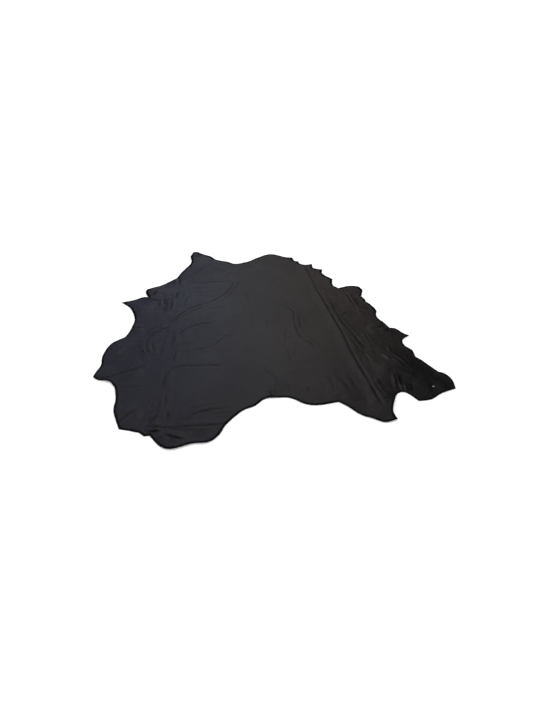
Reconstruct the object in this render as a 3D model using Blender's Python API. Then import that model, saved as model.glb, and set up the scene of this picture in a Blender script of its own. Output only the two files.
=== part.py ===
"""Leather hide: one whole finished cattle hide, laid out on a flat surface.

A hide is one sheet of leather, so it is one solid. It has the trimmed margin with its shanks,
flanks and neck lobes, the thickness of upholstery leather, the folds that stayed in it from
being packed, and one small hole near the tip of its right end.

Units are metres and +Z is up. The origin lies on the surface that the hide rests on, under the
middle of its outline. Seen from the near side, +X is to the right and +Y is away.
"""
from collections import namedtuple
import math
import random

import bmesh
import bpy
from mathutils import Vector, geometry

# Sheet
THICKNESS = 0.0015
LEATHER_COLOUR = (0.012, 0.012, 0.013, 1.0)
LEATHER_ROUGHNESS = 0.42

# Spacing of the mesh's points, and the closest that two of them come
MARGIN_SPACING = 0.027
FIELD_SPACING = 0.056
FOLD_SPACING = 0.040
FOLD_GAP = 0.013
FIELD_GAP = 0.034
FIELD_JITTER = 0.006
FIELD_BOX = Vector((2.3, 2.6))
LATTICE_ROW = math.sqrt(3) / 2

# Small worn hole near the tip of the right end
HOLE_CENTRE = Vector((0.980, -0.745))
HOLE_HALF_WIDTH = 0.007
HOLE_HALF_DEPTH = 0.005
HOLE_SIDES = 10

# A fold fades over this length at each end
FOLD_FADE = 0.10

# The margin, anticlockwise from the tip of the far left shank. Each stretch is a smooth curve
# that starts where the one before it ended, and the margin has a corner where two of them meet.
Stretch = namedtuple("Stretch", "name points")
MARGIN = (
    Stretch("far left shank, outer side", (
        (-0.705, 1.110), (-0.680, 0.985), (-0.735, 0.780), (-0.760, 0.650))),
    Stretch("far left flank", ((-0.890, 0.510), (-0.960, 0.460))),
    Stretch("far left flank, tip", ((-0.960, 0.410), (-0.920, 0.330))),
    Stretch("left spike, far side", ((-0.955, 0.340), (-1.030, 0.288), (-1.110, 0.255))),
    Stretch("left waist", (
        (-1.020, 0.165), (-0.950, 0.010), (-0.938, -0.125), (-0.955, -0.228))),
    Stretch("near left shank", (
        (-1.020, -0.315), (-1.040, -0.450), (-1.020, -0.550), (-1.034, -0.660))),
    Stretch("near left shank, near side", (
        (-1.000, -0.685), (-0.920, -0.708), (-0.874, -0.762))),
    Stretch("left cheek side", ((-0.840, -0.865), (-0.828, -0.950), (-0.762, -1.090))),
    Stretch("left cheek, near side", ((-0.650, -1.118), (-0.618, -1.142), (-0.590, -1.138))),
    Stretch("near left lobe", (
        (-0.520, -1.213), (-0.462, -1.231), (-0.365, -1.195), (-0.283, -1.183),
        (-0.235, -1.133), (-0.205, -1.060), (-0.125, -0.954), (-0.055, -0.911))),
    Stretch("neck", (
        (0.000, -0.855), (0.070, -0.845), (0.140, -0.846), (0.225, -0.898),
        (0.300, -0.906), (0.410, -0.880))),
    Stretch("near right lobe", (
        (0.450, -0.912), (0.515, -0.981), (0.580, -1.014), (0.635, -1.041), (0.708, -1.022))),
    Stretch("right bay", (
        (0.696, -0.965), (0.718, -0.890), (0.757, -0.810), (0.800, -0.795), (0.862, -0.872))),
    Stretch("right end, near side", (
        (0.935, -0.858), (1.000, -0.812), (1.056, -0.784), (1.104, -0.765))),
    Stretch("right end, far side", ((1.108, -0.680), (1.078, -0.624), (1.050, -0.608))),
    Stretch("right end, shoulder", ((0.978, -0.482), (0.952, -0.455))),
    Stretch("right waist", (
        (0.950, -0.380), (0.918, -0.335), (0.915, -0.262), (0.978, -0.204))),
    Stretch("right spike, far side", ((0.944, -0.178), (0.898, -0.110), (0.864, -0.106))),
    Stretch("right flank, near part", (
        (0.838, -0.040), (0.802, 0.045), (0.815, 0.138), (0.788, 0.220), (0.760, 0.262))),
    Stretch("right flank, far part", (
        (0.758, 0.305), (0.740, 0.348), (0.755, 0.400), (0.768, 0.472))),
    Stretch("right tab", ((0.738, 0.522), (0.665, 0.528), (0.582, 0.490))),
    Stretch("far right bay", ((0.540, 0.545), (0.552, 0.655))),
    Stretch("far right margin, first step", ((0.490, 0.725), (0.472, 0.770), (0.480, 0.838))),
    Stretch("far right margin, second step", ((0.405, 0.868), (0.402, 0.950))),
    Stretch("far right margin, third step", ((0.350, 0.928), (0.298, 0.950), (0.280, 1.010))),
    Stretch("far right margin, fourth step", ((0.248, 1.022), (0.232, 1.095))),
    Stretch("rump", (
        (0.160, 1.112), (0.070, 1.166), (0.000, 1.166), (-0.090, 1.090), (-0.186, 0.996),
        (-0.290, 0.962), (-0.358, 1.006), (-0.465, 1.040))),
    Stretch("far left shank, inner side", (
        (-0.530, 1.118), (-0.600, 1.172), (-0.665, 1.231), (-0.695, 1.220))),
)

# The folds. A route runs from near to far or from left to right. A fold's line touches the
# surface, and the leather swells to a height beside it: left and right are those heights as one
# walks the route, steep is the distance from the line to a swell's top, gentle from there on.
Fold = namedtuple("Fold", "name route left right steep gentle")
FOLDS = (
    Fold("long packing crease", (
        (0.655, -0.930), (0.592, -0.600), (0.530, -0.200), (0.470, 0.130), (0.410, 0.430),
        (0.340, 0.960)),
        0.004, 0.006, 0.018, 0.110),
    Fold("crease beside the packing crease", (
        (0.650, -0.345), (0.605, -0.200), (0.560, -0.085), (0.525, 0.070), (0.490, 0.300)),
        0.003, 0.004, 0.016, 0.060),
    Fold("tab crease", ((0.677, 0.100), (0.655, 0.260), (0.615, 0.450)),
         0.002, 0.003, 0.016, 0.060),
    Fold("right end crease", ((0.885, -0.590), (0.830, -0.490), (0.770, -0.400)),
         0.004, 0.004, 0.016, 0.060),
    Fold("right bay crease", ((0.778, -0.820), (0.768, -0.700), (0.750, -0.590)),
         0.004, 0.004, 0.016, 0.050),
    Fold("right spike trough", ((0.705, -0.155), (0.772, -0.112), (0.855, -0.077)),
         0.004, 0.003, 0.022, 0.060),
    Fold("middle crease", (
        (0.338, -0.386), (0.258, -0.256), (0.208, -0.097), (0.203, 0.103), (0.109, 0.232)),
        0.002, 0.002, 0.018, 0.060),
    Fold("far left arc", (
        (-0.685, -0.010), (-0.595, 0.133), (-0.495, 0.227), (-0.395, 0.312), (-0.325, 0.412),
        (-0.273, 0.611)),
        0.003, 0.004, 0.020, 0.070),
    Fold("far left flank crease", (
        (-0.713, 0.110), (-0.720, 0.230), (-0.704, 0.390), (-0.722, 0.600), (-0.733, 0.700)),
        0.004, 0.003, 0.018, 0.060),
    Fold("left spike crease", ((-0.974, 0.322), (-0.874, 0.288), (-0.790, 0.257)),
         0.005, 0.004, 0.020, 0.060),
    Fold("left belly crease", ((-0.600, -0.320), (-0.640, -0.200), (-0.660, -0.050)),
         0.003, 0.003, 0.018, 0.050),
    Fold("left waist crease", (
        (-0.740, -0.440), (-0.795, -0.330), (-0.793, -0.215), (-0.755, -0.150), (-0.655, -0.057)),
        0.004, 0.005, 0.018, 0.060),
    Fold("left middle arc", (
        (-0.586, -0.398), (-0.476, -0.376), (-0.396, -0.354), (-0.306, -0.266), (-0.176, -0.192)),
        0.002, 0.003, 0.020, 0.070),
    Fold("near left arc", (
        (-0.290, -0.533), (-0.440, -0.540), (-0.550, -0.560), (-0.600, -0.640), (-0.595, -0.800)),
        0.003, 0.002, 0.020, 0.080),
    Fold("near left shank trough", (
        (-1.010, -0.700), (-0.930, -0.645), (-0.860, -0.607), (-0.740, -0.530)),
        0.006, 0.008, 0.036, 0.080),
    Fold("left cheek trough", ((-0.800, -1.085), (-0.760, -1.022), (-0.690, -0.905)),
         0.005, 0.005, 0.028, 0.070),
    Fold("near left ridge", ((-0.640, -1.078), (-0.500, -1.075), (-0.350, -1.063), (-0.140, -1.036)),
         0.006, 0.000, 0.012, 0.080),
    Fold("near left pleat", ((-0.680, -1.130), (-0.600, -1.120), (-0.530, -1.115), (-0.380, -1.185)),
         0.011, 0.000, 0.012, 0.060),
)

# Where the leather stands off the surface: round swells that rise to a height in their middle
Swell = namedtuple("Swell", "name x y radius height")
SWELLS = (
    Swell("far left shank", -0.640, 1.060, 0.150, 0.010),
    Swell("far left flank", -0.860, 0.450, 0.150, 0.013),
    Swell("left spike", -1.020, 0.210, 0.160, 0.014),
    Swell("left waist", -0.960, -0.330, 0.140, 0.011),
    Swell("near left shank tip", -1.010, -0.620, 0.110, 0.010),
    Swell("near left lobe", -0.460, -1.200, 0.100, 0.005),
    Swell("right end tip", 1.050, -0.700, 0.130, 0.010),
    Swell("right spike", 0.940, -0.190, 0.120, 0.009),
    Swell("right end", 0.880, -0.480, 0.120, 0.007),
)


def eased(share):
    """Rise smoothly from 0 to 1 as share goes from 0 to 1."""
    share = min(max(share, 0.0), 1.0)
    return share * share * (3.0 - 2.0 * share)


def curve_through(points, spacing):
    """Points about spacing apart on a smooth curve through the given ones, the first left out."""
    ends = [points[0] * 2 - points[1], *points, points[-1] * 2 - points[-2]]
    curve = []
    for before, start, end, after in zip(ends, ends[1:], ends[2:], ends[3:]):
        reach = (end - start).length / 3
        leave = start + (end - before).normalized() * reach
        arrive = end - (after - start).normalized() * reach
        count = max(round((end - start).length / spacing), 1)
        run = geometry.interpolate_bezier(start, leave, arrive, end, count + 1)
        curve.extend(point.to_2d() for point in run[1:])
    return curve


def margin_ring():
    """The whole margin as one closed ring of points."""
    here = Vector(MARGIN[-1].points[-1])
    ring = []
    for stretch in MARGIN:
        route = [here, *(Vector(point) for point in stretch.points)]
        ring.extend(curve_through(route, MARGIN_SPACING))
        here = route[-1]
    return ring


def hole_ring():
    """The small hole as a closed ring of points."""
    turns = [math.tau * side / HOLE_SIDES for side in range(HOLE_SIDES)]
    return [
        HOLE_CENTRE + Vector((HOLE_HALF_WIDTH * math.cos(turn), HOLE_HALF_DEPTH * math.sin(turn)))
        for turn in turns
    ]


class FoldLine:
    """One row of FOLDS with its route worked out, ready to give heights."""

    def __init__(self, fold):
        self.fold = fold
        start = Vector(fold.route[0])
        route = [start, *(Vector(point) for point in fold.route[1:])]
        self.line = [start, *curve_through(route, FOLD_SPACING)]
        self.along = [0.0]
        for here, there in zip(self.line, self.line[1:]):
            self.along.append(self.along[-1] + (there - here).length)

    def place(self, point):
        """Distance from the line (positive on its left) and distance along it."""
        best = (math.inf, 0.0, 0.0)
        for here, there, along in zip(self.line, self.line[1:], self.along):
            step = there - here
            share = min(max((point - here).dot(step) / step.length_squared, 0.0), 1.0)
            away = point - (here + step * share)
            if away.length < best[0]:
                side = math.copysign(away.length, step.x * away.y - step.y * away.x)
                best = (away.length, side, along + share * step.length)
        return best[1], best[2]

    def height(self, point):
        side, along = self.place(point)
        rise = self.fold.left if side > 0 else self.fold.right
        fade = eased(along / FOLD_FADE) * eased((self.along[-1] - along) / FOLD_FADE)
        distance = abs(side)
        if distance < self.fold.steep:
            return rise * fade * eased(distance / self.fold.steep)
        return rise * fade * (1.0 - eased((distance - self.fold.steep) / self.fold.gentle))

    def support(self):
        """Points that carry the fold's shape: on its line, its two swells' tops and their slopes."""
        top = self.fold.steep
        slope = top + self.fold.gentle / 2
        points = []
        for distance in (0.0, top, -top, slope, -slope):
            for here, there in zip(self.line, self.line[1:]):
                across = (there - here).normalized().orthogonal()
                points.append((here + there) / 2 + across * distance)
        return points


def underside_height(point, folds):
    """Height of the sheet's underside over the surface that it lies on."""
    height = sum(fold.height(point) for fold in folds)
    for swell in SWELLS:
        away = (point - Vector((swell.x, swell.y))).length
        height += swell.height * (1.0 - eased(away / swell.radius))
    return height


def inside(point, ring):
    """Whether the point lies within the ring, by counting the ring's crossings to its right."""
    crossings = 0
    for here, there in zip(ring, ring[1:] + ring[:1]):
        if (here.y > point.y) != (there.y > point.y):
            crossing = here.x + (point.y - here.y) / (there.y - here.y) * (there.x - here.x)
            crossings += crossing > point.x
    return crossings % 2 == 1


def field_points():
    """A jittered triangular lattice over the hide's whole box."""
    jitter = random.Random(7)
    points = []
    rows = round(FIELD_BOX.y / (FIELD_SPACING * LATTICE_ROW))
    columns = round(FIELD_BOX.x / FIELD_SPACING)
    for row in range(rows + 1):
        for column in range(columns + 1):
            points.append(Vector((
                (column + row % 2 / 2) * FIELD_SPACING - FIELD_BOX.x / 2,
                row * FIELD_SPACING * LATTICE_ROW - FIELD_BOX.y / 2,
            )) + Vector((jitter.uniform(-1, 1), jitter.uniform(-1, 1))) * FIELD_JITTER)
    return points


def spread(kept, candidates, gap, ring):
    """Add the candidates inside the ring that keep the gap to every point taken so far."""
    for point in candidates:
        if inside(point, ring) and all((point - other).length > gap for other in kept):
            kept.append(point)


def sheet_mesh():
    """The hide's underside as one open sheet of triangles, lying in its folds."""
    margin, hole = margin_ring(), hole_ring()
    folds = [FoldLine(fold) for fold in FOLDS]
    kept = margin + hole
    spread(kept, [point for fold in folds for point in fold.support()], FOLD_GAP, margin)
    spread(kept, field_points(), FIELD_GAP, margin)

    rings = [range(len(margin)), range(len(margin), len(margin) + len(hole))]
    edges = [(ring[i - 1], ring[i]) for ring in rings for i in range(len(ring))]
    flat, _, triangles, *_ = geometry.delaunay_2d_cdt(kept, edges, [list(rings[0])], 1, 1e-6)

    bm = bmesh.new()
    for point in flat:
        bm.verts.new((*point, underside_height(point, folds)))
    bm.verts.ensure_lookup_table()
    for triangle in triangles:
        centre = sum((flat[corner] for corner in triangle), Vector((0.0, 0.0))) / 3
        if not inside(centre, hole):
            bm.faces.new([bm.verts[corner] for corner in triangle])
    loose = [vertex for vertex in bm.verts if not vertex.link_faces]
    bmesh.ops.delete(bm, geom=loose, context="VERTS")
    bmesh.ops.recalc_face_normals(bm, faces=bm.faces)
    mesh = bpy.data.meshes.new("hide")
    bm.to_mesh(mesh)
    bm.free()
    return mesh


def leather():
    """Black finished leather with a soft sheen."""
    material = bpy.data.materials.new("black leather")
    material.use_nodes = True
    shader = material.node_tree.nodes["Principled BSDF"]
    shader.inputs["Base Color"].default_value = LEATHER_COLOUR
    shader.inputs["Roughness"].default_value = LEATHER_ROUGHNESS
    shader.inputs["Metallic"].default_value = 0.0
    return material


def build():
    for thing in list(bpy.data.objects):
        bpy.data.objects.remove(thing, do_unlink=True)
    mesh = sheet_mesh()
    mesh.shade_smooth()
    mesh.materials.append(leather())
    hide = bpy.data.objects.new("hide", mesh)
    bpy.context.scene.collection.objects.link(hide)
    solid = hide.modifiers.new("thickness", "SOLIDIFY")
    solid.thickness = THICKNESS
    solid.offset = 1.0


build()
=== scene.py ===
# %% [markdown]
# # A black leather hide
#
# A whole hide is one sheet of leather: trimmed where the legs, belly and neck were, 1.5 mm thick,
# and never quite flat again once it has been folded up and shipped. This lesson starts from the
# plain solid of the CAD model, which fixes the outline and the sizes, and lays a fine sheet in its
# place with every crease, a grain side, a cut edge and a flesh side.

# %% Load the frame
import math
from collections import namedtuple

import bmesh
import bpy
import numpy as np
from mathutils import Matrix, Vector, geometry, noise


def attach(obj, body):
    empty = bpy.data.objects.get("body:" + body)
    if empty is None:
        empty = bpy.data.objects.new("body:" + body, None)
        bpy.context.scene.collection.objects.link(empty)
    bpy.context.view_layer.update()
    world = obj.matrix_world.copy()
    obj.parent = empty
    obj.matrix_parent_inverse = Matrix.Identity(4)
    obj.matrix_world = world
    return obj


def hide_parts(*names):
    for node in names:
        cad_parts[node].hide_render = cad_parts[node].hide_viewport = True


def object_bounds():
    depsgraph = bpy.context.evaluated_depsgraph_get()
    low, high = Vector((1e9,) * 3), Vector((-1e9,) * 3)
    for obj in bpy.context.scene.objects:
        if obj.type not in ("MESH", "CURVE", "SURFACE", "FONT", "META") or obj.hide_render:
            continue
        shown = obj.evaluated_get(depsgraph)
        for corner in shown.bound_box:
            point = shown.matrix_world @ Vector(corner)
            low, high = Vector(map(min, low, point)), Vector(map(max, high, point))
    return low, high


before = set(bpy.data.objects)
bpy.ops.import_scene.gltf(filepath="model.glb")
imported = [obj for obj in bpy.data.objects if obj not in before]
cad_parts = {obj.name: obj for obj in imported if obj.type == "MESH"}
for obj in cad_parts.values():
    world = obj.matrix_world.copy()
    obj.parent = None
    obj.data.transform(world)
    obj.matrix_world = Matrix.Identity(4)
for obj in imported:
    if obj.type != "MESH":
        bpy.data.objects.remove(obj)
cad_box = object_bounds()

MM = 0.001
print("CAD box:", [round(value, 4) for corner in cad_box for value in corner])

# %% [markdown]
# ## Camera
#
# The hide was photographed by someone standing at its near end with a wide lens. The camera comes
# first, so that every later step can be judged in the picture's own frame. A wide lens makes the
# near lobes large and the far end small, and no camera shift is needed.

# %% Camera
EYE = Vector((0.0267, -2.7172, 1.6536))
LOOKING_DOWN = math.radians(36.5)
LENS_MM = 22.0
SENSOR_MM = 36.0

camera_data = bpy.data.cameras.new("camera")
camera_data.lens = LENS_MM
camera_data.sensor_width = SENSOR_MM
camera = bpy.data.objects.new("camera", camera_data)
camera.location = EYE
camera.rotation_euler = (math.pi / 2 - LOOKING_DOWN, 0.0, 0.0)
bpy.context.scene.collection.objects.link(camera)
bpy.context.scene.camera = camera
print("camera height, m:", round(EYE.z, 2))

# %% [markdown]
# ## The cut margin
#
# A hide is trimmed with a knife, so its margin is a row of smooth cuts that meet in corners. The
# outline is already in the CAD solid: the lower rim is where the underside meets the thin wall.
# Those edges are easy to find, because the wall stands nearly square to the sheet there. Reading
# them back keeps one outline for both models, instead of a second copy that could drift.

# %% Read the margin and the hole from the solid
RIM_ANGLE = math.radians(70)
UNDERSIDE_NORMAL = -0.6
MERGE_DISTANCE = 1e-5


def is_lower_rim(edge):
    """Whether the edge lies between the underside and the wall."""
    if len(edge.link_faces) != 2 or edge.calc_face_angle() <= RIM_ANGLE:
        return False
    return min(face.normal.z for face in edge.link_faces) < UNDERSIDE_NORMAL


def rim_loops(node):
    """The closed loops of points where the node's underside meets its wall, longest first."""
    bm = bmesh.new()
    bm.from_mesh(node.data)
    bmesh.ops.remove_doubles(bm, verts=bm.verts, dist=MERGE_DISTANCE)
    rim = [edge for edge in bm.edges if is_lower_rim(edge)]
    loops = []
    while rim:
        edge = rim.pop()
        loop = [edge.verts[0], edge.verts[1]]
        while loop[-1] is not loop[0]:
            edge = next(e for e in loop[-1].link_edges if e in rim)
            rim.remove(edge)
            loop.append(edge.other_vert(loop[-1]))
        loops.append([vertex.co.to_2d() for vertex in loop[1:]])
    bm.free()
    return sorted(loops, key=len, reverse=True)


def ring_area(ring):
    """The area inside a ring, negative if it runs clockwise."""
    return sum(a.x * b.y - b.x * a.y for a, b in zip(ring, ring[1:] + ring[:1])) / 2


def anticlockwise(ring):
    return ring if ring_area(ring) > 0 else ring[::-1]


margin, hole = [anticlockwise(loop) for loop in rim_loops(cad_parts["hide"])]
print("margin:", len(margin), "points; hole:", len(hole), "points")

# %% [markdown]
# The CAD margin has a point about every 27 mm, enough for a solid but too angular for a cut that
# shows. Between its corners it is redrawn as a smooth curve with a point every 8 mm.

# %% Redraw the margin finer
MARGIN_SPACING = 0.008
CORNER_TURN = math.radians(28)


def is_corner(before, here, after):
    return (here - before).angle(after - here, 0.0) > CORNER_TURN


def run_through(points, spacing):
    """Points about spacing apart on a smooth curve through the given ones, the last left out."""
    ends = [points[0] * 2 - points[1], *points, points[-1] * 2 - points[-2]]
    curve = []
    for before, start, end, after in zip(ends, ends[1:], ends[2:], ends[3:]):
        reach = (end - start).length / 3
        leave = start + (end - before).normalized() * reach
        arrive = end - (after - start).normalized() * reach
        count = max(round((end - start).length / spacing), 1)
        run = geometry.interpolate_bezier(start, leave, arrive, end, count + 1)
        curve.extend(point.to_2d() for point in run[:-1])
    return curve


def redraw(ring, spacing):
    """The ring with smooth, finer stretches between its corners."""
    size = len(ring)
    corners = [i for i in range(size) if is_corner(ring[i - 1], ring[i], ring[(i + 1) % size])]
    finer = []
    for start, end in zip(corners, corners[1:] + [corners[0] + size]):
        stretch = [ring[i % size] for i in range(start, end + 1)]
        finer.extend(run_through(stretch, spacing))
    return finer


smooth_margin = redraw(margin, MARGIN_SPACING)
print("smooth margin:", len(smooth_margin), "points")

# %% [markdown]
# A knife and a trimming wheel never run true, so each point then strays a little, and more along
# the right side, where the hide in the photograph is plainly ragged. The stray is Perlin noise: it
# looks random, but changes smoothly and is the same in every run. A scale says how fast it
# changes, and a seed picks one pattern out of many.

# %% Let the cut stray
Noise = namedtuple("Noise", "scale seed")
KNIFE_STRAY = 0.0012
KNIFE_NOISE = Noise(45.0, 3.0)
RAGGED_STRAY = 0.0045
RAGGED_NOISE = Noise(28.0, 9.0)
Ramp = namedtuple("Ramp", "start length")
RAGGED_RIGHT = Ramp(0.15, 0.2)
RAGGED_AWAY = Ramp(-0.55, 0.7)


def drift(x, y, kind):
    """Smooth noise between -1 and 1 that changes over about 1/scale metres."""
    return noise.noise(Vector((x * kind.scale, y * kind.scale, kind.seed)))


def with_neighbours(ring):
    """Each point of a ring between the one before it and the one after it."""
    return zip([ring[-1], *ring], ring, [*ring[1:], ring[0]])


def ramp_up(value, ramp):
    """From 0 at the ramp's start to 1 at its end, and level before and after."""
    return np.clip((value - ramp.start) / ramp.length, 0.0, 1.0)


def raggedness(point):
    """From 0 to 1 as one goes right and away from the near left."""
    return float(ramp_up(point.x, RAGGED_RIGHT) * ramp_up(point.y, RAGGED_AWAY))


def stray(ring):
    """The ring as a knife leaves it: every point moved a little along its own normal."""
    moved = []
    for before, here, after in with_neighbours(ring):
        outward = (after - before).normalized()
        outward = Vector((outward.y, -outward.x))
        away = KNIFE_STRAY * drift(here.x, here.y, KNIFE_NOISE)
        away += RAGGED_STRAY * raggedness(here) * drift(here.x, here.y, RAGGED_NOISE)
        moved.append(here + outward * away)
    return moved


cut_margin = stray(smooth_margin)
print("cut margin:", len(cut_margin), "points")

# %% [markdown]
# ## Creases, wrinkles and folds
#
# Leather remembers how it was packed. The long straight crease on the right is a fold line that
# runs the hide's whole length, the matching soft ones on the left show the other fold, and the
# loose skin of the flanks and shanks lies in smaller wrinkles between them. Each is listed in the
# table, on the floor's own metres. All are the same kind of shape: a line where the leather
# touches down, with a swell of its own height on each side, steep next to the line and gentle
# further out. A swell with no steep side at all is a ridge.

# %% The table of folds
Fold = namedtuple("Fold", "name left right steep gentle route")

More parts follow.
